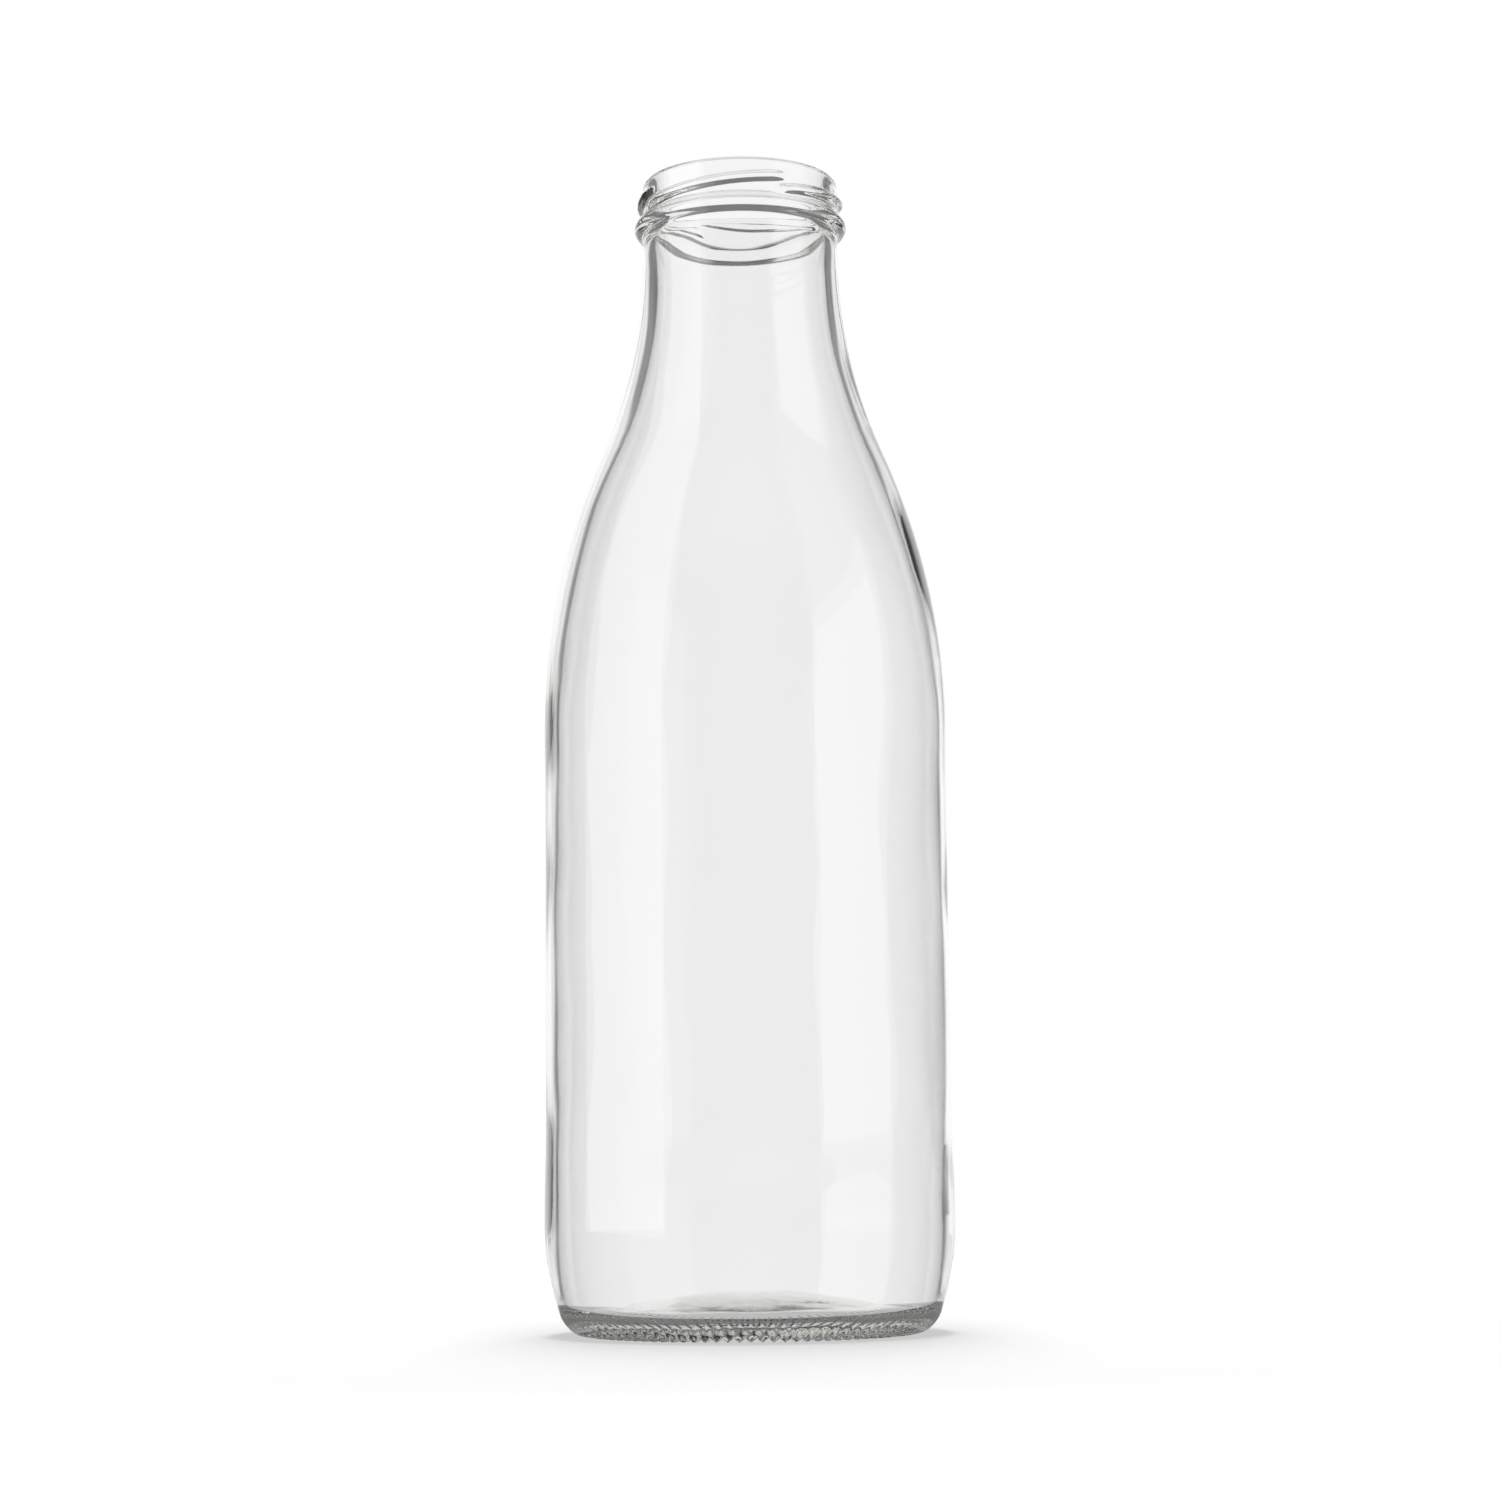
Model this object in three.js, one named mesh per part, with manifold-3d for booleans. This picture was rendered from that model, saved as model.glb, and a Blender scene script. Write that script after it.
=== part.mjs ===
// A one litre glass milk bottle with a wide mouth for a lug cap, moulded as one piece of clear glass.
// Millimetres, +Z up. The origin is the centre of the base, on the surface that the bottle stands on.
import * as THREE from 'three';
import { mergeVertices } from 'three/addons/utils/BufferGeometryUtils.js';
import Module from 'manifold-3d';

const wasm = await Module();
wasm.setup();

// The whole bottle
const HEIGHT = 257;

// Facets: round the axis, and along each curve of the outline
const SIDES = 48;
const FLOOR_STEPS = 6;
const HEEL_STEPS = 4;
const BLEND_STEPS = 3;
const SHOULDER_STEPS = 6;
const BEAD_STEPS = 6;
const RIM_STEPS = 3;
const SAME_POINT = 0.01;
const SAME_VERTEX = 1e-4;

// Base: a flat bearing ring round a shallow push-up
const BEARING_INNER_R = 33;
const BEARING_OUTER_R = 37.2;
const BEARING_EDGE = 0.9; // depth of the bevel inside the ring
const PUSH_UP = 5.5;
const BASE_THICKNESS = 5;

// Heel: a tight corner that runs into a long curve, widest a little above the base
const HEEL_R = 44.7;
const HEEL_CREST_Z = 24;
const HEEL_CURVE = 60;
const HEEL_CORNER = 8.5;
const HEEL_JOIN_Z = 5;

// Straight body, slightly recessed between the heel and the shoulder
const PANEL_R = 44.35;
const PANEL_BOTTOM_Z = 48;
const PANEL_TOP_Z = 118;
const SHOULDER_R = 44.5;
const SHOULDER_Z = 132;

// Shoulder and neck: two long arcs that meet in a slope
const SHOULDER_CURVE = 154;
const NECK_CURVE = 114.6;
const NECK_R = 22.1;

// Finish: the bead under the threads, the threaded wall and the rim, in depths below the rim's top
const BEAD_DEPTH = 10.6;
const BEAD_CENTRE_R = 22;
const BEAD_ROUND = 1.95;
const BEAD_NECK_R = 21.85; // the wall just under the bead
const BEAD_WRAP = Math.PI * 0.46; // how far the bead's round reaches, up and down from its crest
const BEAD_FILLET = 0.8; // height of the blend from the neck into the bead
const FINISH_R = 22.05;
const RIM_OUTER_ROUND = 1;
const RIM_INNER_ROUND = 0.8;

// Lugs: four short ridges of a right-hand thread
const LUG_COUNT = 4;
const LUG_HEIGHT = 1.25;
const LUG_ROOT = 0.6; // how far a lug reaches into the wall
const LUG_HALF_WIDTH = 1.2; // at the root
const LUG_EDGE_HEIGHT = 1; // where the ridge's flank turns over to its crest
const LUG_EDGE_HALF_WIDTH = 0.72;
const LUG_LOW_DEPTH = 7.6;
const LUG_HIGH_DEPTH = 4.17;
const LUG_FIRST_DEG = -163; // 73 degrees to the left of the front, -Y
const LUG_SPAN_DEG = 105;
const LUG_STEPS = 12;
const LUG_LEAD_IN = 0.2; // share of the lug that rises from the wall, and that falls back to it
const LUG_LOWEST = 0.1; // share of the height that is left at a lug's ends

// Inside
const BODY_INNER_R = 42;
const INNER_HEEL_CURVE = 76;
const INNER_HEEL_CORNER = 4.5;
const INNER_HEEL_JOIN_Z = 7.5;
const DOME_FOOT = 0.92; // how far out the floor's flat rim and its dome's shoulder reach
const DOME_TOP = 0.75;
const BORE_R = 19;
const INNER_SHOULDER_Z = 131.2;
const INNER_SHOULDER_CURVE = 151.6;
const INNER_NECK_CURVE = 117.2;

const at = (r, z) => new THREE.Vector2(r, z);

function arc(centreR, centreZ, radius, from, to, steps) {
  return new THREE.EllipseCurve(centreR, centreZ, radius, radius, from, to, from > to).getPoints(steps);
}

// Two arcs from a wall of radius r0, upright at z0, inwards to a wall of radius r1
function sCurve(r0, z0, r1, firstRadius, secondRadius) {
  const turn = Math.acos(1 - (r0 - r1) / (firstRadius + secondRadius));
  const topZ = z0 + (firstRadius + secondRadius) * Math.sin(turn);
  return [
    ...arc(r0 - firstRadius, z0, firstRadius, 0, turn, SHOULDER_STEPS),
    ...arc(r1 + secondRadius, topZ, secondRadius, Math.PI + turn, Math.PI, SHOULDER_STEPS),
  ];
}

// A gentle step from one upright wall to another
function easedStep(r0, z0, r1, z1, steps) {
  const middleZ = (z0 + z1) / 2;
  const step = new THREE.CubicBezierCurve(at(r0, z0), at(r0, middleZ), at(r1, middleZ), at(r1, z1));
  return step.getPoints(steps);
}

function underside() {
  const edgeR = BEARING_INNER_R - BEARING_EDGE;
  const edge = at(edgeR, BEARING_EDGE);
  const dome = new THREE.QuadraticBezierCurve(at(0, PUSH_UP), at(edgeR / 2, PUSH_UP), edge);
  return [...dome.getPoints(FLOOR_STEPS), at(BEARING_INNER_R, 0)];
}

// The centre of the tight corner under a long curve that is upright at crestR, crestZ, and the lean
// from upright where the two meet
function cornerUnder(crestR, crestZ, curve, joinZ, corner) {
  const lean = Math.asin((crestZ - joinZ) / curve);
  const joinR = crestR - curve * (1 - Math.cos(lean));
  return { lean, r: joinR - corner * Math.cos(lean), z: joinZ + corner * Math.sin(lean) };
}

function heel() {
  const corner = cornerUnder(HEEL_R, HEEL_CREST_Z, HEEL_CURVE, HEEL_JOIN_Z, HEEL_CORNER);
  const start = -Math.acos((BEARING_OUTER_R - corner.r) / HEEL_CORNER);
  return [
    at(BEARING_OUTER_R, 0),
    ...arc(corner.r, corner.z, HEEL_CORNER, start, -corner.lean, HEEL_STEPS),
    ...arc(HEEL_R - HEEL_CURVE, HEEL_CREST_Z, HEEL_CURVE, -corner.lean, 0, HEEL_STEPS),
  ];
}

function bodyAndNeck() {
  return [
    ...easedStep(HEEL_R, HEEL_CREST_Z, PANEL_R, PANEL_BOTTOM_Z, BLEND_STEPS),
    ...easedStep(PANEL_R, PANEL_TOP_Z, SHOULDER_R, SHOULDER_Z, BLEND_STEPS),
    ...sCurve(SHOULDER_R, SHOULDER_Z, NECK_R, SHOULDER_CURVE, NECK_CURVE),
  ];
}

function finish() {
  const beadZ = HEIGHT - BEAD_DEPTH;
  const quarter = Math.PI / 2;
  const outerCentre = [FINISH_R - RIM_OUTER_ROUND, HEIGHT - RIM_OUTER_ROUND];
  const innerCentre = [BORE_R + RIM_INNER_ROUND, HEIGHT - RIM_INNER_ROUND];
  return [
    at(BEAD_NECK_R, beadZ - BEAD_ROUND - BEAD_FILLET),
    ...arc(BEAD_CENTRE_R, beadZ, BEAD_ROUND, -BEAD_WRAP, BEAD_WRAP, BEAD_STEPS),
    ...arc(...outerCentre, RIM_OUTER_ROUND, 0, quarter, RIM_STEPS),
    ...arc(...innerCentre, RIM_INNER_ROUND, quarter, Math.PI, RIM_STEPS),
  ];
}

function inside() {
  const corner = cornerUnder(
    BODY_INNER_R, HEEL_CREST_Z, INNER_HEEL_CURVE, INNER_HEEL_JOIN_Z, INNER_HEEL_CORNER);
  const floorZ = corner.z - INNER_HEEL_CORNER;
  const centreZ = PUSH_UP + BASE_THICKNESS;
  const wall = sCurve(BODY_INNER_R, INNER_SHOULDER_Z, BORE_R, INNER_SHOULDER_CURVE, INNER_NECK_CURVE);
  const floor = new THREE.CubicBezierCurve(
    at(corner.r, floorZ), at(corner.r * DOME_FOOT, floorZ), at(corner.r * DOME_TOP, centreZ), at(0, centreZ));
  return [
    ...wall.reverse(),
    ...arc(BODY_INNER_R - INNER_HEEL_CURVE, HEEL_CREST_Z, INNER_HEEL_CURVE, 0, -corner.lean, HEEL_STEPS),
    ...arc(corner.r, corner.z, INNER_HEEL_CORNER, -corner.lean, -Math.PI / 2, HEEL_STEPS),
    ...floor.getPoints(FLOOR_STEPS),
  ];
}

// From the axis under the base, up the outside, over the rim and down the inside to the axis again.
// Where one curve ends on the next one's start, the point is kept once.
function wallOutline() {
  const points = [...underside(), ...heel(), ...bodyAndNeck(), ...finish(), ...inside()];
  return points.filter((point, i) => i === 0 || point.distanceTo(points[i - 1]) > SAME_POINT);
}

function toSolid(geometry) {
  geometry.deleteAttribute('normal');
  geometry.deleteAttribute('uv');
  const merged = mergeVertices(geometry, SAME_VERTEX);
  return new wasm.Manifold(new wasm.Mesh({
    numProp: 3,
    vertProperties: new Float32Array(merged.attributes.position.array),
    triVerts: new Uint32Array(merged.index.array),
  }));
}

function toGeometry(solid) {
  const mesh = solid.getMesh();
  const geometry = new THREE.BufferGeometry();
  geometry.setAttribute('position', new THREE.BufferAttribute(mesh.vertProperties, 3));
  geometry.setIndex(new THREE.BufferAttribute(mesh.triVerts, 1));
  geometry.computeVertexNormals();
  return geometry;
}

// A straight bar with the ridge's section, bent round the mouth along the thread and tapered at its ends
function lug(index) {
  const section = new THREE.Shape([
    at(-LUG_ROOT, -LUG_HALF_WIDTH), at(LUG_EDGE_HEIGHT, -LUG_EDGE_HALF_WIDTH), at(LUG_HEIGHT, 0),
    at(LUG_EDGE_HEIGHT, LUG_EDGE_HALF_WIDTH), at(-LUG_ROOT, LUG_HALF_WIDTH)]);
  const bar = new THREE.ExtrudeGeometry(section, { depth: 1, steps: LUG_STEPS, bevelEnabled: false });
  const startDeg = LUG_FIRST_DEG + (index * 360) / LUG_COUNT;
  const spots = bar.attributes.position;
  for (let i = 0; i < spots.count; i += 1) {
    const along = spots.getZ(i);
    const rise = Math.min(1, along / LUG_LEAD_IN, (1 - along) / LUG_LEAD_IN);
    const share = LUG_LOWEST + (1 - LUG_LOWEST) * Math.sin((rise * Math.PI) / 2);
    const outwards = spots.getX(i) > 0 ? spots.getX(i) * share : spots.getX(i);
    const turn = THREE.MathUtils.degToRad(startDeg + along * LUG_SPAN_DEG);
    const depth = THREE.MathUtils.lerp(LUG_LOW_DEPTH, LUG_HIGH_DEPTH, along);
    const radius = FINISH_R + outwards;
    spots.setXYZ(i, radius * Math.cos(turn), radius * Math.sin(turn), HEIGHT - depth + spots.getY(i));
  }
  return toSolid(bar);
}

function bottle() {
  let solid = toSolid(new THREE.LatheGeometry(wallOutline(), SIDES).rotateX(Math.PI / 2));
  for (let index = 0; index < LUG_COUNT; index += 1) {
    solid = solid.add(lug(index));
  }
  return toGeometry(solid);
}

const clearGlass = new THREE.MeshStandardMaterial({
  color: 0xdfe5e3, roughness: 0.05, metalness: 0, transparent: true, opacity: 0.35,
});

const model = new THREE.Group();
const glassBottle = new THREE.Mesh(bottle(), clearGlass);
glassBottle.name = 'glass_bottle';
model.add(glassBottle);

export default model;
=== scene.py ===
"""A clear glass milk bottle with a wide lug mouth, on a white studio table."""

import math

import bpy
import numpy as np
from mathutils import Matrix, Vector, noise


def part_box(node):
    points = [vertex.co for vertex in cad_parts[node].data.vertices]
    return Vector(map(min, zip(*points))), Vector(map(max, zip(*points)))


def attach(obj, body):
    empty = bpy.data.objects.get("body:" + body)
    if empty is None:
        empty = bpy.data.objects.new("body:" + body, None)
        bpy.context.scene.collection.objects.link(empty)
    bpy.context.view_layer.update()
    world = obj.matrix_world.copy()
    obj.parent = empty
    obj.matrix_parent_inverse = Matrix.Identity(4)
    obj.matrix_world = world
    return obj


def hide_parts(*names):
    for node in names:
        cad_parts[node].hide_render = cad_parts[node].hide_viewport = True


bl_info = {
    "name": "Glass Milk Bottle",
    "version": (1, 0, 0),
    "blender": (4, 5, 0),
    "location": "3D View > Sidebar > Bottle",
    "description": "Spins a moulded glass milk bottle and sets up a white studio round it",
    "category": "Add Mesh",
}

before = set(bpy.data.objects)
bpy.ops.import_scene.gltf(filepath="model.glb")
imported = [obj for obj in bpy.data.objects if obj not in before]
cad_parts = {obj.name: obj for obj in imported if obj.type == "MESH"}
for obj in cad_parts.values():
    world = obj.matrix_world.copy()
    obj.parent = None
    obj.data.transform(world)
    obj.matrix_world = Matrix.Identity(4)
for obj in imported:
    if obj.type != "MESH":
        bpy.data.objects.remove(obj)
BOX_LOW, BOX_HIGH = (np.array(corner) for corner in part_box("glass_bottle"))
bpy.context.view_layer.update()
MM = 0.001
HEIGHT = (BOX_HIGH[2] - BOX_LOW[2]) / MM  # all shape values below are in millimetres
HEEL_R = (BOX_HIGH[0] - BOX_LOW[0]) / 2 / MM

# Base and heel
BEARING_INNER_R = 33.0
BEARING_OUTER_R = 37.2
PUSH_UP = 5.5
BASE_THICKNESS = 5.0
HEEL_CREST_Z = 24.0
HEEL_CURVE = 60.0
HEEL_CORNER = 8.5
HEEL_JOIN_Z = 5.0

# Body, shoulder and neck
PANEL_R = 44.35
PANEL_BOTTOM_Z = 48.0
PANEL_TOP_Z = 118.0
SHOULDER_R = 44.5
SHOULDER_Z = 132.0
SHOULDER_CURVE = 154.0
NECK_CURVE = 114.6
NECK_R = 22.1

# Finish, in depths below the rim
BEAD_DEPTH = 10.6
BEAD_ROUND = 1.95
BEAD_CENTRE_R = 22.0
FINISH_R = 22.05
RIM_OUTER_ROUND = 1.1
RIM_INNER_ROUND = 0.9

# Lugs, with the upper flank gentler than the lower one
LUG_COUNT = 4
LUG_UPPER_FLANK = 1.75
LUG_LOWER_FLANK = 1.25
LUG_CREST = 1.25  # flattens the ridge's top
LUG_TAPER = 0.14  # share of the lug's length that each end takes to fade
LUG_LOW_DEPTH = 7.6
LUG_HIGH_DEPTH = 4.17
LUG_FIRST_DEG = -163.0
LUG_SPAN_DEG = 105.0

# Knurled bars: where they begin and end on the base, and how soon they fade there
BARS_INNER_R = 31.2
BARS_INNER_FADE = 1.2
BARS_OUTER_R = 41.2
BARS_OUTER_FADE = 2.6
BARS_TOP_Z = 3.5

# Inside
BODY_INNER_R = 42.0
INNER_HEEL_CURVE = 76.0
INNER_HEEL_CORNER = 4.5
INNER_HEEL_JOIN_Z = 7.5
DOME_FOOT = 0.92  # how far out the floor's flat rim and its dome's shoulder reach
DOME_TOP = 0.75
BORE_R = 19.0
INNER_SHOULDER_Z = 131.2
INNER_SHOULDER_CURVE = 151.6
INNER_NECK_CURVE = 117.2

# What moulding leaves: waves in the inner skin, and the seams outside
WALL_WAVE_LENGTH = 34
WALL_RIPPLE_LENGTH = 11
FLOOR_WAVE_LENGTH = 13
FLOOR_WAVE_R = 39.5  # the floor is even outside this
WALLS_FROM_Z = 12  # the inner skin is floor below this and wall above it
SEAM_HALF_WIDTH = 0.35

# The studio, in metres
SOFTBOX_DISTANCE = 0.8
SOFTBOX_FOOT = -0.02
SOFTBOX_TOP = 1.6
TABLE_R = 0.5
TABLE_DROP = 0.0002  # keeps the table's face clear of the base
GLOW_FROM, GLOW_TO = 0.16, 0.34  # where the table's painted glow grows to full
UNDER_FROM, UNDER_TO = 0.033, 0.035  # the edge of the painted lit patch under the base, in the glass
CLEAR_FROM, CLEAR_TO = 0.045, 0.075  # where the painted shade round the base ends, in the glass
WEDGE_FORWARD = 0.12  # how far in front of the axis the painted white wedge of table has its point
WEDGE_FROM, WEDGE_TO = 0.15, 0.19  # how far behind that point the wedge begins
WEDGE_HALF = (20, 30)  # degrees to each side, where the wedge's painted light begins and ends its fade

SPIN_STEPS = 384  # four columns of the mesh for each bar of the knurled ring


def linear_colour(hex_value):
    """The linear RGBA of an sRGB hex colour."""
    channels = [int(hex_value[i : i + 2], 16) / 255 for i in (1, 3, 5)]
    return [c / 12.92 if c <= 0.04045 else ((c + 0.055) / 1.055) ** 2.4 for c in channels] + [1.0]


def add_node(tree, kind, settings=None, links=None):
    """Adds a node, sets its properties and input values, and links sockets into its inputs."""
    node = tree.nodes.new(kind)
    for key, value in (settings or {}).items():
        if isinstance(key, str) and hasattr(node, key):
            setattr(node, key, value)
        else:
            node.inputs[key].default_value = value
    for key, socket in (links or {}).items():
        tree.links.new(socket, node.inputs[key])
    return node


def arc(centre_r, centre_z, radius, start, end, steps):
    """Points of an arc in the plane of radius and height."""
    turns = np.linspace(start, end, steps + 1)
    return [(centre_r + radius * math.cos(t), centre_z + radius * math.sin(t)) for t in turns]


def bezier(points, steps):
    """Points of a cubic Bezier curve."""
    a, b, c, d = (np.array(p, float) for p in points)
    out = []
    for t in np.linspace(0, 1, steps + 1):
        s = 1 - t
        out.append(tuple(s**3 * a + 3 * s * s * t * b + 3 * s * t * t * c + t**3 * d))
    return out


def eased_step(r0, z0, r1, z1, steps):
    """A gentle step between two upright walls."""
    middle = (z0 + z1) / 2
    return bezier([(r0, z0), (r0, middle), (r1, middle), (r1, z1)], steps)


def s_curve(r0, z0, r1, first, second, steps):
    """Two arcs from a wall of radius r0, upright at z0, in to a wall of radius r1."""
    turn = math.acos(1 - (r0 - r1) / (first + second))
    top = z0 + (first + second) * math.sin(turn)
    low = arc(r0 - first, z0, first, 0, turn, steps)
    return low + arc(r1 + second, top, second, math.pi + turn, math.pi, steps)


def corner_under(crest_r, crest_z, curve, join_z, corner):
    """A tight corner's centre under a long curve that is upright at its crest, and the lean they meet at."""
    lean = math.asin((crest_z - join_z) / curve)
    join_r = crest_r - curve * (1 - math.cos(lean))
    return lean, join_r - corner * math.cos(lean), join_z + corner * math.sin(lean)


def underside():
    """The push-up and the inner edge of the bearing ring."""
    edge_r = BEARING_INNER_R - 2.2
    dome = bezier([(0, PUSH_UP), (edge_r * 0.6, PUSH_UP), (edge_r * 0.85, 3.0), (edge_r, 1.3)], 12)
    ring = bezier([(edge_r, 1.3), (edge_r + 1.2, 0.7), (BEARING_INNER_R - 0.6, 0.0),
                   (BEARING_INNER_R + 0.5, 0.0)], 5)
    flat = [(r, 0.0) for r in np.linspace(BEARING_INNER_R + 0.5, BEARING_OUTER_R - 0.6, 6)]
    return dome + ring + flat


def heel():
    """The tight corner at the base and the long curve above it."""
    lean, corner_r, corner_z = corner_under(HEEL_R, HEEL_CREST_Z, HEEL_CURVE, HEEL_JOIN_Z, HEEL_CORNER)
    start = -math.acos((BEARING_OUTER_R + 0.35 - corner_r) / HEEL_CORNER)
    corner = arc(corner_r, corner_z, HEEL_CORNER, start, -lean, 12)
    return corner + arc(HEEL_R - HEEL_CURVE, HEEL_CREST_Z, HEEL_CURVE, -lean, 0, 9)


def body_and_neck():
    """The recessed straight body, the shoulder and the neck."""
    return (
        eased_step(HEEL_R, HEEL_CREST_Z, PANEL_R, PANEL_BOTTOM_Z, 6)
        + eased_step(PANEL_R, PANEL_TOP_Z, SHOULDER_R, SHOULDER_Z, 5)
        + s_curve(SHOULDER_R, SHOULDER_Z, NECK_R, SHOULDER_CURVE, NECK_CURVE, 13)
    )


def finish():
    """The bead, the plain threaded wall and the rounded rim."""
    bead_z = HEIGHT - BEAD_DEPTH
    wrap = math.pi * 0.40
    reach_r = BEAD_CENTRE_R + BEAD_ROUND * math.cos(wrap)
    reach_z = BEAD_ROUND * math.sin(wrap)
    low = bezier([(NECK_R - 0.25, bead_z - 5), (NECK_R - 0.25, bead_z - 3.4),
                  (NECK_R - 0.2, bead_z - 2.5), (reach_r, bead_z - reach_z)], 8)
    bead = arc(BEAD_CENTRE_R, bead_z, BEAD_ROUND, -wrap, wrap, 12)
    top = bezier([(reach_r, bead_z + reach_z), (FINISH_R + 0.1, bead_z + 2.4),
                  (FINISH_R, bead_z + 2.6), (FINISH_R, bead_z + 3.2)], 4)
    wall_top = HEIGHT - RIM_OUTER_ROUND
    wall = [(FINISH_R, z) for z in np.linspace(bead_z + 3.2, wall_top, 25)]
    quarter = math.pi / 2
    outer = arc(FINISH_R - RIM_OUTER_ROUND, wall_top, RIM_OUTER_ROUND, 0, quarter, 6)
    inner = arc(BORE_R + RIM_INNER_ROUND, HEIGHT - RIM_INNER_ROUND, RIM_INNER_ROUND, quarter, math.pi, 6)
    return low + bead + top + wall + outer + inner


def inside():
    """The bore, the inner shoulder and body, and the floor."""
    lean, corner_r, corner_z = corner_under(
        BODY_INNER_R, HEEL_CREST_Z, INNER_HEEL_CURVE, INNER_HEEL_JOIN_Z, INNER_HEEL_CORNER)
    floor_z = corner_z - INNER_HEEL_CORNER
    centre_z = PUSH_UP + BASE_THICKNESS
    wall = s_curve(BODY_INNER_R, INNER_SHOULDER_Z, BORE_R, INNER_SHOULDER_CURVE, INNER_NECK_CURVE, 13)
    neck_top = wall[-1][1]
    bore = [(BORE_R, z) for z in np.linspace(HEIGHT - RIM_INNER_ROUND, neck_top, 17)]
    straight = [(BODY_INNER_R, z) for z in np.linspace(INNER_SHOULDER_Z, HEEL_CREST_Z, 22)]
    curve = arc(BODY_INNER_R - INNER_HEEL_CURVE, HEEL_CREST_Z, INNER_HEEL_CURVE, 0, -lean, 8)
    corner = arc(corner_r, corner_z, INNER_HEEL_CORNER, -lean, -math.pi / 2, 10)
    floor = bezier([(corner_r, floor_z), (corner_r * DOME_FOOT, floor_z),
                    (corner_r * DOME_TOP, centre_z), (0, centre_z)], 20)
    return bore + wall[::-1] + straight + curve + corner + floor


def wall_outline():
    """The whole outline, from the axis under the base to the axis inside, without repeated points."""
    points = underside() + heel() + body_and_neck() + finish() + inside()
    kept = [points[0]]
    for point in points[1:]:
        if math.dist(point, kept[-1]) > 0.02:
            kept.append(point)
    return kept


class BottleSettings(bpy.types.PropertyGroup):
    """Sizes and colours of the glass."""

    bars: bpy.props.IntProperty(
        name="Base bars", description="Raised bars round the bearing ring", default=96, min=24, max=192)
    bar_depth: bpy.props.FloatProperty(
        name="Bar depth", description="Depth of the grooves between the bars, in millimetres", default=0.8)
    lug_height: bpy.props.FloatProperty(
        name="Lug height", description="How far the thread lugs stand out, in millimetres", default=1.25)
    wall_shift: bpy.props.FloatProperty(
        name="Wall shift", description="How far the cavity sits off centre, in millimetres", default=0.3)
    wall_wave: bpy.props.FloatProperty(
        name="Wall wave", description="Unevenness of the inner wall, in millimetres", default=0.75)
    floor_wave: bpy.props.FloatProperty(
        name="Floor wave", description="Unevenness of the floor inside, in millimetres", default=0.5)
    seam: bpy.props.FloatProperty(
        name="Mould seam", description="Height of the two mould seams, in millimetres", default=0.05)
    tint: bpy.props.FloatVectorProperty(
        name="Glass tint", description="Colour that thick glass turns", subtype="COLOR", size=4,
        default=linear_colour("#C5C7BC"), min=0, max=1)
    tint_density: bpy.props.FloatProperty(
        name="Tint density", description="How soon the tint shows, per metre", default=12.0)


class StudioSettings(bpy.types.PropertyGroup):
    """The camera and the lights."""

    distance: bpy.props.FloatProperty(
        name="Camera distance", description="From the bottle's axis", default=0.6936, unit="LENGTH")
    eye_height: bpy.props.FloatProperty(
        name="Camera height", description="Above the table", default=0.0367, unit="LENGTH")
    pitch: bpy.props.FloatProperty(
        name="Camera pitch", description="Upwards", default=math.radians(7.46), subtype="ANGLE")
    yaw: bpy.props.FloatProperty(
        name="Camera yaw", description="To the right", default=math.radians(0.0865), subtype="ANGLE")
    roll: bpy.props.FloatProperty(
        name="Camera roll", description="Clockwise", default=math.radians(0.57), subtype="ANGLE")
    lens: bpy.props.FloatProperty(
        name="Lens", description="Focal length in millimetres on a 36 mm sensor", default=75.6)
    left_box: bpy.props.FloatProperty(
        name="Left softbox", description="Brightness beside the white backdrop", default=0.95)
    right_box: bpy.props.FloatProperty(
        name="Right softbox", description="Brightness beside the white backdrop", default=0.45)
    backdrop_top: bpy.props.FloatProperty(
        name="Backdrop top", description="How high the white backdrop reaches, seen from the bottle",
        default=math.radians(38), subtype="ANGLE")
    room: bpy.props.FloatProperty(
        name="Room", description="Brightness of the room between the softboxes", default=0.2)
    front: bpy.props.FloatProperty(
        name="Front wall", description="Brightness of the room behind the camera", default=0.12)
    # the table's painted glow, dimmer near the bottle: no lamp stands under the table
    painted_table_glow: bpy.props.FloatProperty(
        name="Table glow", description="Light from below the table round the bottle", default=0.55)
    # painted dimness of the table as the glass sees it, outside the painted white wedge behind the bottle
    painted_table_level: bpy.props.FloatProperty(
        name="Table", description="Brightness of the table in the glass, except behind the bottle",
        default=0.2)
    # painted level of the table under and round the base, in the glass: a painted lit patch for bent light,
    # painted shade for light straight through
    painted_level_under_base: bpy.props.FloatProperty(
        name="Table under", description="Brightness of the table under the base, in the glass",
        default=0.62)


def spun_bottle():
    """The outline spun round the axis into one closed skin."""
    outline = [(r * MM, 0.0, z * MM) for r, z in wall_outline()]
    mesh = bpy.data.meshes.new("milk_bottle_glass")
    mesh.from_pydata(outline, [(i, i + 1) for i in range(len(outline) - 1)], [])
    piece = bpy.data.objects.new("milk_bottle_glass", mesh)
    bpy.context.collection.objects.link(piece)
    bpy.ops.object.select_all(action="DESELECT")
    bpy.context.view_layer.objects.active = piece
    piece.select_set(True)
    bpy.ops.object.mode_set(mode="EDIT")
    bpy.ops.mesh.select_all(action="SELECT")
    bpy.ops.mesh.spin(steps=SPIN_STEPS, angle=math.tau, center=(0, 0, 0), axis=(0, 0, 1))
    bpy.ops.mesh.select_all(action="SELECT")
    bpy.ops.mesh.remove_doubles(threshold=0.003 * MM)
    bpy.ops.mesh.normals_make_consistent(inside=False)
    bpy.ops.object.mode_set(mode="OBJECT")
    return piece


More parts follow.
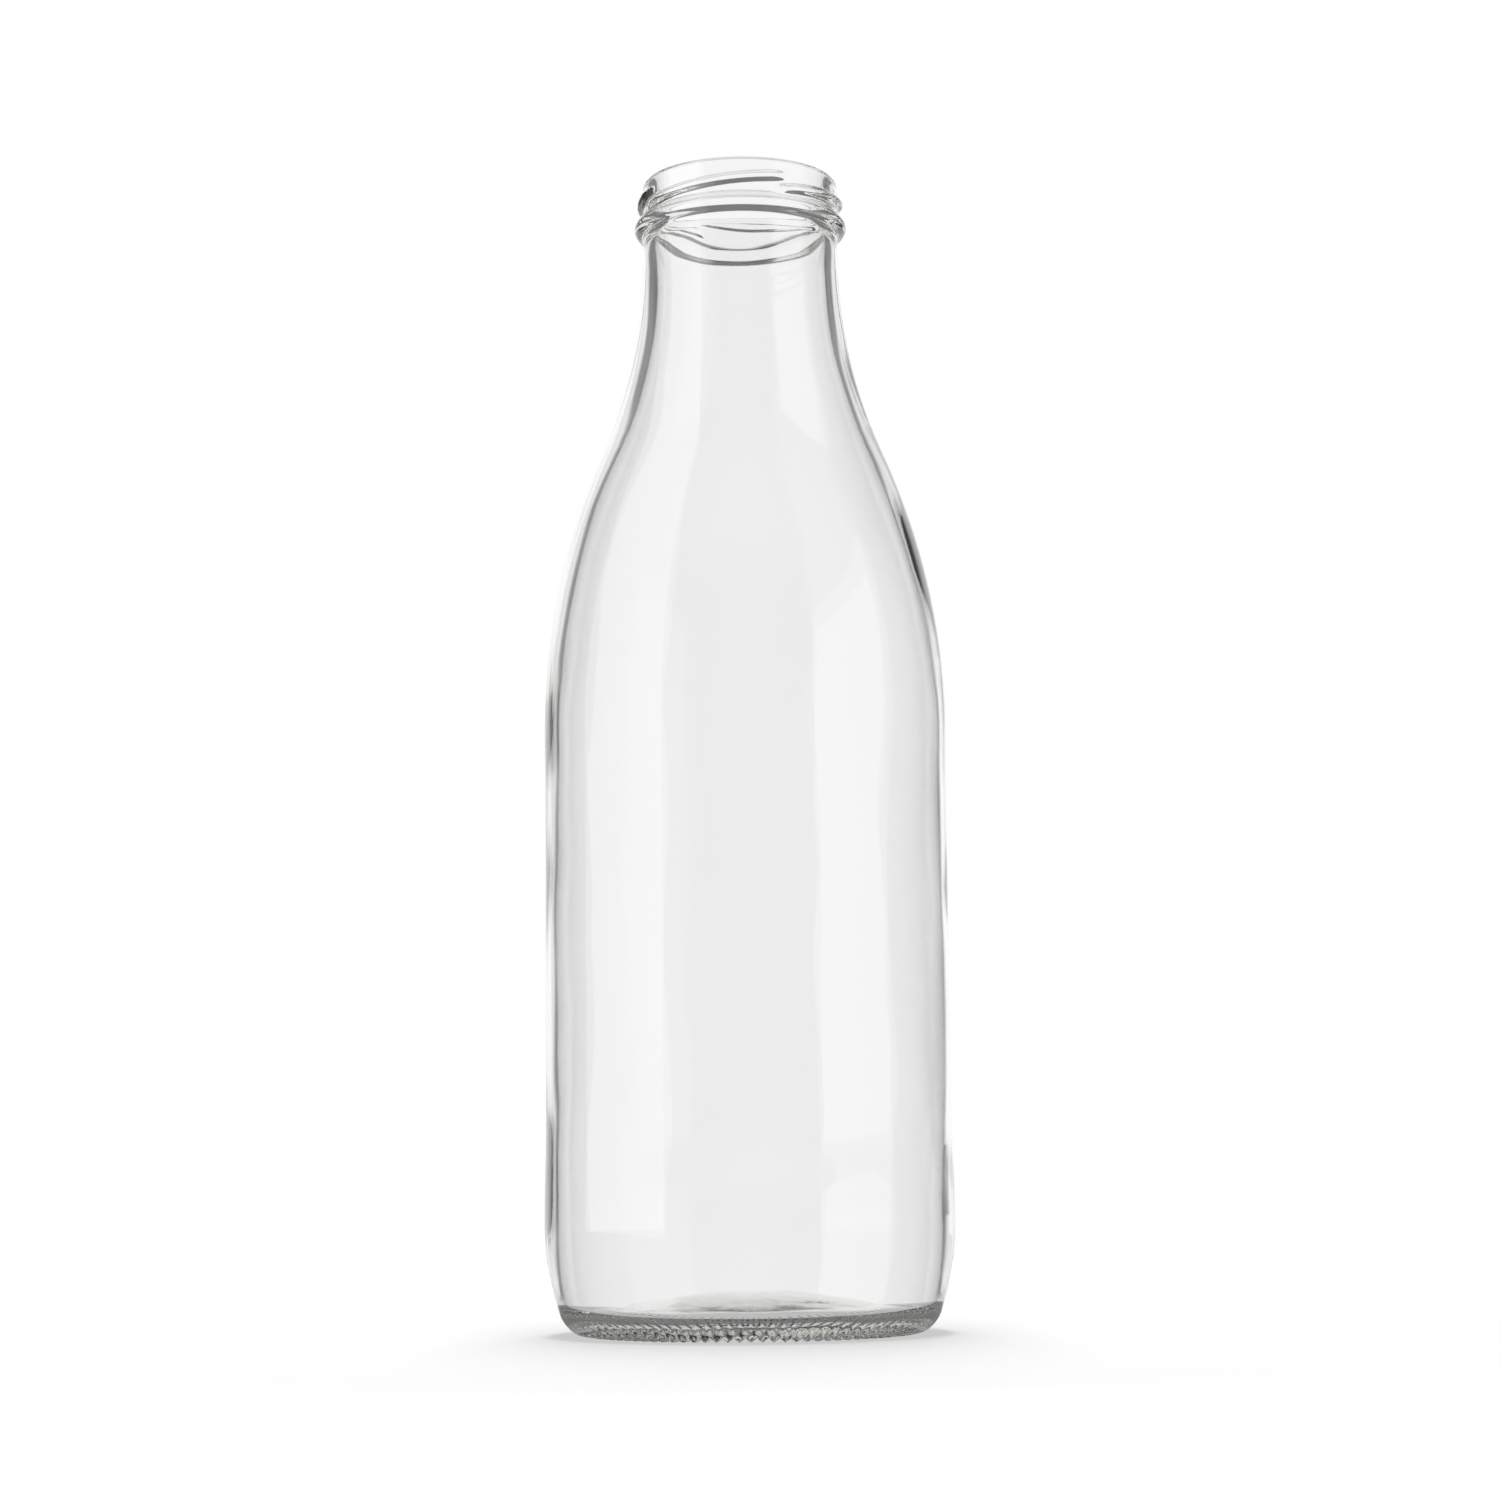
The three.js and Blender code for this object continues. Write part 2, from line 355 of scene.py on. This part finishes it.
def outer_radius_at(heights):
    """The plain outer radius at each height, without lugs, seams or bars."""
    outside = heel() + body_and_neck() + finish()
    top = max(range(len(outside)), key=lambda i: (outside[i][1], outside[i][0]))
    radii, zs = zip(*outside[: top + 1])
    return np.interp(heights, zs, radii)


def smooth(x):
    """A soft step from 0 to 1."""
    x = np.clip(x, 0, 1)
    return x * x * (3 - 2 * x)


def lug_rise(angle_deg, height, lug_height):
    """How far the four lugs stand out of the finish wall, at each angle and height."""
    rise = np.zeros_like(height)
    for index in range(LUG_COUNT):
        along = ((angle_deg - LUG_FIRST_DEG - index * 360 / LUG_COUNT) % 360) / LUG_SPAN_DEG
        crest = HEIGHT - LUG_LOW_DEPTH - (LUG_HIGH_DEPTH - LUG_LOW_DEPTH) * along
        off = height - crest
        width = np.where(off > 0, LUG_UPPER_FLANK, LUG_LOWER_FLANK)
        ridge = smooth(LUG_CREST * (1 - np.abs(off) / width))
        ends = smooth(np.minimum(along, 1 - along) / LUG_TAPER)
        rise = np.maximum(rise, lug_height * ridge * ends * (along <= 1))
    return rise


def bar_groove(angle, radius, height, settings):
    """How deep the grooves between the bearing ring's bars are at each point under the base."""
    inwards = smooth((radius - BARS_INNER_R) / BARS_INNER_FADE)
    outwards = smooth((BARS_OUTER_R - radius) / BARS_OUTER_FADE)
    under = height < BARS_TOP_Z
    return settings.bar_depth * (0.5 - 0.5 * np.cos(settings.bars * angle)) * inwards * outwards * under


def wall_unevenness(x, y, z, settings):
    """How far the blown inner wall strays outwards at each point, in millimetres."""
    turn = np.arctan2(y, x)
    wave = np.array([
        noise.noise(Vector((math.cos(t) * 1.1, math.sin(t) * 1.1, h / WALL_WAVE_LENGTH)))
        + 0.16 * noise.noise(Vector((math.cos(t) * 3 + 7, math.sin(t) * 3, h / WALL_RIPPLE_LENGTH)))
        for t, h in zip(turn, z)])
    above_floor = smooth((z - WALLS_FROM_Z) / 25)
    below_neck = 1 - 0.72 * smooth((z - 170) / 50)
    below_finish = smooth((HEIGHT - 12 - z) / 15)
    strays = settings.wall_wave * wave + settings.wall_shift * np.cos(turn)
    return above_floor * below_neck * below_finish * strays


def floor_unevenness(x, y, radius, settings):
    """How far the floor inside strays upwards at each point, in millimetres."""
    length = FLOOR_WAVE_LENGTH
    wave = np.array([noise.noise(Vector((a / length, b / length, 5.0))) for a, b in zip(x, y)])
    return settings.floor_wave * wave * smooth((FLOOR_WAVE_R - radius) / 5)


def shape_by_hand(piece, settings):
    """Presses the lugs, seams, bars and the uneven inner wall into the spun skin."""
    count = len(piece.data.vertices)
    spots = np.empty(count * 3)
    piece.data.vertices.foreach_get("co", spots)
    x, y, z = (spots.reshape(-1, 3) / MM).T
    radius = np.hypot(x, y)
    angle = np.arctan2(y, x)
    plain = outer_radius_at(z)
    outer = (radius > plain - 0.9) & (z > 0.05)
    under_r, under_z = zip(*underside())
    inner = (radius < plain - 1.4) & (z > np.interp(radius, under_r, under_z) + 2)
    threads = outer & (z > HEIGHT - BEAD_DEPTH)
    grow = np.zeros(count)
    grow[threads] += lug_rise(np.degrees(angle[threads]), z[threads], settings.lug_height)
    across = np.abs(np.sin(angle)) * radius
    seam = settings.seam * np.exp(-((across / SEAM_HALF_WIDTH) ** 2)) * smooth((z - 2) / 3) * (z < HEIGHT - 1.5)
    grow[outer] += seam[outer] - settings.seam * smooth((z[outer] - 2) / 3)
    floor = inner & (z < WALLS_FROM_Z) & (radius > 0.5)
    walls = inner & (z > WALLS_FROM_Z)
    grow[walls] += wall_unevenness(x[walls], y[walls], z[walls], settings)
    lift = bar_groove(angle, radius, z, settings)
    lift[floor] += floor_unevenness(x[floor], y[floor], radius[floor], settings)
    share = (radius + grow) / np.maximum(radius, 1e-6)
    shaped = np.stack([x * share, y * share, z + lift], axis=1) * MM
    piece.data.vertices.foreach_set("co", shaped.ravel())
    piece.data.update()


def fire_polished_glass(settings):
    """Clear soda-lime container glass, pressed and blown: smooth skin, faint ripple, a tint in its depth."""
    material = bpy.data.materials.new("clear_soda_lime_glass")
    material.use_nodes = True
    tree = material.node_tree
    tree.nodes.clear()
    place = add_node(tree, "ShaderNodeTexCoord")
    ripple = add_node(
        tree, "ShaderNodeTexNoise", {"Scale": 1 / (14 * MM), "Detail": 1.0, "Roughness": 0.4},
        {"Vector": place.outputs["Object"]})  # the ripple that cold moulds leave, about 14 mm long
    bump = add_node(
        tree, "ShaderNodeBump", {"Strength": 0.1, "Distance": 0.1 * MM},
        {"Height": ripple.outputs["Fac"]})
    glass = add_node(
        tree, "ShaderNodeBsdfPrincipled",
        {"Base Color": linear_colour("#FFFFFF"), "Roughness": 0.0, "IOR": 1.52, "Transmission Weight": 1.0},
        {"Normal": bump.outputs["Normal"]})
    depth = add_node(
        tree, "ShaderNodeVolumeAbsorption",
        {"Color": tuple(settings.tint), "Density": settings.tint_density})
    add_node(
        tree, "ShaderNodeOutputMaterial",
        links={"Surface": glass.outputs["BSDF"], "Volume": depth.outputs["Volume"]})
    return material


def through_both_walls(tree):
    """1 for light that has come in by one wall of the bottle and out by the other, without a reflection."""
    path = add_node(tree, "ShaderNodeLightPath")
    crossed = add_node(
        tree, "ShaderNodeMath", {"operation": "GREATER_THAN", 1: 3.5},
        {0: path.outputs["Transmission Depth"]})
    return add_node(
        tree, "ShaderNodeMath", {"operation": "SUBTRACT", "use_clamp": True},
        {0: crossed.outputs[0], 1: path.outputs["Glossy Depth"]}).outputs[0]


def soft_step(tree, value, low, high, start, end):
    """A soft change from start to end as the value goes from low to high. Both may be numbers or sockets."""
    settings = {"interpolation_type": "SMOOTHSTEP", "From Min": low, "From Max": high}
    links = {"Value": value}
    for key, level in (("To Min", start), ("To Max", end)):
        (settings if isinstance(level, float) else links)[key] = level
    return add_node(tree, "ShaderNodeMapRange", settings, links).outputs["Result"]


def painted_wedge_behind(tree, place, level):
    """Painted light: white in a wedge of table behind the bottle, and the given level everywhere else."""
    point = add_node(
        tree, "ShaderNodeVectorMath", {"operation": "ADD", 1: (0, WEDGE_FORWARD, 0)}, {0: place})
    axes = add_node(tree, "ShaderNodeSeparateXYZ", links={"Vector": point.outputs[0]})
    azimuth = add_node(
        tree, "ShaderNodeMath", {"operation": "ARCTAN2"}, {0: axes.outputs["X"], 1: axes.outputs["Y"]})
    off = add_node(tree, "ShaderNodeMath", {"operation": "ABSOLUTE"}, {0: azimuth.outputs[0]})
    inner, outer = (math.radians(edge) for edge in WEDGE_HALF)
    across = soft_step(tree, off.outputs[0], inner, outer, 1.0, level)
    return soft_step(tree, axes.outputs["Y"], WEDGE_FROM, WEDGE_TO, level, across)


def pale_table(settings):
    """Matt white laminate that glows by itself: painted light, dimmer near the bottle. The glass sees a painted
    copy instead, with painted shade near the base and painted white behind it.
    """
    material = bpy.data.materials.new("matt_white_laminate")
    material.use_nodes = True
    tree = material.node_tree
    tree.nodes.clear()
    place = add_node(tree, "ShaderNodeTexCoord").outputs["Object"]
    reach = add_node(
        tree, "ShaderNodeVectorMath", {"operation": "LENGTH"}, {0: place}).outputs["Value"]
    # painted glow: the table shines by itself, dimmer near the bottle and full further out
    painted_glow_level = soft_step(tree, reach, GLOW_FROM, GLOW_TO, settings.painted_table_glow, 1.0)
    painted_glow_emission = add_node(tree, "ShaderNodeEmission", links={"Strength": painted_glow_level})
    laminate = add_node(tree, "ShaderNodeBsdfDiffuse", {"Color": linear_colour("#7F7F7F")})
    lit = add_node(tree, "ShaderNodeAddShader", links={0: painted_glow_emission.outputs[0], 1: laminate.outputs[0]})
    # the glass sees a painted copy of the table: painted white behind the bottle, painted shade round the base,
    # painted dimness elsewhere
    wedge = painted_wedge_behind(tree, place, settings.painted_table_level)
    bent = soft_step(tree, reach, UNDER_FROM, UNDER_TO, settings.painted_level_under_base, wedge)
    straight = soft_step(tree, reach, CLEAR_FROM, CLEAR_TO, settings.painted_level_under_base, 1.0)
    level = add_node(
        tree, "ShaderNodeMix", {"data_type": "FLOAT"},
        {"Factor": through_both_walls(tree), 2: bent, 3: straight})
    painted_table_in_glass = add_node(tree, "ShaderNodeEmission", links={"Strength": level.outputs[0]})
    # the camera sees the laminate lit by the lamp plus its painted glow; every other ray sees the painted copy
    seen = add_node(tree, "ShaderNodeLightPath")
    look = add_node(
        tree, "ShaderNodeMixShader",
        links={0: seen.outputs["Is Camera Ray"], 1: painted_table_in_glass.outputs[0], 2: lit.outputs[0]})
    add_node(tree, "ShaderNodeOutputMaterial", links={"Surface": look.outputs[0]})
    return material


class BOTTLE_OT_glass(bpy.types.Operator):
    """Spins the bottle's outline and shapes its lugs, bars, seams and inner wall"""

    bl_idname = "bottle.glass"
    bl_label = "Glass Bottle"

    def execute(self, context):
        """Makes the glass piece and puts it in the place of the plain node."""
        settings = context.scene.bottle_settings
        piece = spun_bottle()
        shape_by_hand(piece, settings)
        piece.data.shade_smooth()
        piece.data.materials.append(fire_polished_glass(settings))
        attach(piece, "root")
        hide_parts("glass_bottle")
        return {"FINISHED"}


def studio_world(settings):
    """White to the camera and straight through the bottle. Bent light finds a backdrop in a dim room."""
    world = bpy.data.worlds.new("studio")
    world.use_nodes = True
    tree = world.node_tree
    tree.nodes.clear()
    way = add_node(tree, "ShaderNodeTexCoord")
    axes = add_node(tree, "ShaderNodeSeparateXYZ", links={"Vector": way.outputs["Generated"]})
    azimuth = add_node(
        tree, "ShaderNodeMath", {"operation": "ARCTAN2"}, {0: axes.outputs["X"], 1: axes.outputs["Y"]})
    turn = add_node(
        tree, "ShaderNodeMapRange", {"From Min": -math.pi, "From Max": math.pi},
        {"Value": azimuth.outputs[0]})
    ramp = add_node(tree, "ShaderNodeValToRGB", links={"Fac": turn.outputs["Result"]})
    lay_ramp(ramp.color_ramp, [
        (-180, settings.front), (-140, settings.front), (-120, settings.room), (-34, settings.room),
        (-28, 1.0), (28, 1.0), (34, settings.room), (120, settings.room), (140, settings.front),
        (180, settings.front)])
    above = add_node(
        tree, "ShaderNodeMapRange",
        {"From Min": math.sin(settings.backdrop_top - 0.05), "From Max": math.sin(settings.backdrop_top)},
        {"Value": axes.outputs["Z"]})
    walls = add_node(
        tree, "ShaderNodeMix", {"data_type": "RGBA", 7: (settings.room,) * 3 + (1.0,)},
        {"Factor": above.outputs["Result"], 6: ramp.outputs["Color"]})
    seen = add_node(tree, "ShaderNodeLightPath")
    plain = add_node(
        tree, "ShaderNodeMath", {"operation": "MAXIMUM"},
        {0: seen.outputs["Is Camera Ray"], 1: through_both_walls(tree)})
    backdrop = add_node(
        tree, "ShaderNodeMix", {"data_type": "RGBA", 7: (1.0, 1.0, 1.0, 1.0)},
        {"Factor": plain.outputs[0], 6: walls.outputs[2]})
    light = add_node(tree, "ShaderNodeBackground", links={"Color": backdrop.outputs[2]})
    add_node(tree, "ShaderNodeOutputWorld", links={"Surface": light.outputs["Background"]})
    return world


def lay_ramp(ramp, stops):
    """Sets a colour ramp's stops from azimuths in degrees, 0 straight behind the bottle, and grey levels."""
    while len(ramp.elements) > 1:
        ramp.elements.remove(ramp.elements[0])
    for index, (azimuth, level) in enumerate(stops):
        place = azimuth / 360 + 0.5
        stop = ramp.elements[0] if index == 0 else ramp.elements.new(place)
        stop.position = place
        stop.color = (level, level, level, 1.0)


def softbox(name, start_deg, end_deg, level):
    """An upright diffusion cloth, seen only in the glass. Its azimuths count from straight behind."""
    middle = math.radians((start_deg + end_deg) / 2)
    half = math.radians(abs(end_deg - start_deg) / 2)
    width = 2 * SOFTBOX_DISTANCE * math.tan(half)
    bpy.ops.mesh.primitive_plane_add(size=1)
    cloth = bpy.context.object
    cloth.name = name
    cloth.scale = (width, SOFTBOX_TOP - SOFTBOX_FOOT, 1)
    cloth.rotation_euler = (math.pi / 2, 0, -middle)
    cloth.location = (
        SOFTBOX_DISTANCE * math.sin(middle), SOFTBOX_DISTANCE * math.cos(middle),
        (SOFTBOX_TOP + SOFTBOX_FOOT) / 2)
    material = bpy.data.materials.new(name)
    material.use_nodes = True
    material.node_tree.nodes.clear()
    tree = material.node_tree
    strength = add_node(
        tree, "ShaderNodeMix", {"data_type": "FLOAT", 2: level, 3: 1.0},
        {"Factor": through_both_walls(tree)})
    glow = add_node(tree, "ShaderNodeEmission", links={"Strength": strength.outputs[0]})
    add_node(tree, "ShaderNodeOutputMaterial", links={"Surface": glow.outputs[0]})
    cloth.data.materials.append(material)
    cloth.visible_camera = False
    cloth.visible_diffuse = False
    cloth.visible_shadow = False


def top_lamp(spot, size, power):
    """A soft lamp over the table, pointed at the bottle's foot. It isn't seen in the glass."""
    name = "top_lamp"
    lamp = bpy.data.lights.new(name, "AREA")
    lamp.shape, lamp.size, lamp.size_y = "RECTANGLE", *size
    lamp.energy = power
    holder = bpy.data.objects.new(name, lamp)
    bpy.context.collection.objects.link(holder)
    holder.location = spot
    holder.rotation_euler = (-Vector(spot)).to_track_quat("-Z", "Y").to_euler()
    holder.visible_camera = False
    holder.visible_glossy = False
    holder.visible_transmission = False


def studio_camera(settings):
    """A camera low over the table, tilted up a little at the bottle."""
    data = bpy.data.cameras.new("camera")
    data.sensor_width = 36
    data.lens = settings.lens
    data.clip_start = 0.01
    camera = bpy.data.objects.new("camera", data)
    bpy.context.collection.objects.link(camera)
    turn = (
        Matrix.Rotation(-settings.yaw, 4, "Z")
        @ Matrix.Rotation(math.pi / 2 + settings.pitch, 4, "X")
        @ Matrix.Rotation(-settings.roll, 4, "Z")
    )
    camera.matrix_world = Matrix.Translation((0, -settings.distance, settings.eye_height)) @ turn
    return camera


def laid_table(settings):
    """A round table top under the bottle."""
    bpy.ops.object.select_all(action="DESELECT")
    bpy.ops.mesh.primitive_circle_add(
        vertices=96, radius=TABLE_R, fill_type="NGON", location=(0, 0, -TABLE_DROP))
    table = bpy.context.object
    table.name = "table"
    table.data.materials.append(pale_table(settings))
    bpy.ops.object.transform_apply(location=True)


class BOTTLE_OT_studio(bpy.types.Operator):
    """Sets up the table, the lights and the camera"""

    bl_idname = "bottle.studio"
    bl_label = "White Studio"

    def execute(self, context):
        """Makes the stage."""
        settings = context.scene.studio_settings
        scene = context.scene
        laid_table(settings)
        softbox("left_softbox", -133, -79, settings.left_box)
        softbox("right_softbox", 95, 142, settings.right_box)
        scene.world = studio_world(settings)
        top_lamp((0, 0.1, 1.21), (0.3, 0.9), 31.0)
        scene.cycles.max_bounces = 48  # light runs a long way inside the base
        scene.cycles.glossy_bounces = 32
        scene.cycles.transmission_bounces = 32
        scene.camera = studio_camera(settings)
        scene.view_settings.view_transform = "Standard"
        return {"FINISHED"}


class BOTTLE_PT_panel(bpy.types.Panel):
    """Lists the bottle's settings and tools"""

    bl_label = "Milk Bottle"
    bl_idname = "BOTTLE_PT_panel"
    bl_space_type = "VIEW_3D"
    bl_region_type = "UI"
    bl_category = "Bottle"

    def draw(self, context):
        """Draws the settings above the tools."""
        for group in (context.scene.bottle_settings, context.scene.studio_settings):
            box = self.layout.box()
            for name in group.__annotations__:
                box.prop(group, name)
        self.layout.operator("bottle.glass")
        self.layout.operator("bottle.studio")


CLASSES = (BottleSettings, StudioSettings, BOTTLE_OT_glass, BOTTLE_OT_studio, BOTTLE_PT_panel)


def register():
    """Registers the classes and hangs the settings on the scene."""
    for cls in CLASSES:
        bpy.utils.register_class(cls)
    bpy.types.Scene.bottle_settings = bpy.props.PointerProperty(type=BottleSettings)
    bpy.types.Scene.studio_settings = bpy.props.PointerProperty(type=StudioSettings)


def unregister():
    """Takes back what register did."""
    del bpy.types.Scene.studio_settings
    del bpy.types.Scene.bottle_settings
    for cls in reversed(CLASSES):
        bpy.utils.unregister_class(cls)


def main():
    """Makes the bottle and the studio."""
    register()
    bpy.ops.bottle.glass()
    bpy.ops.bottle.studio()


if __name__ == "__main__":
    main()
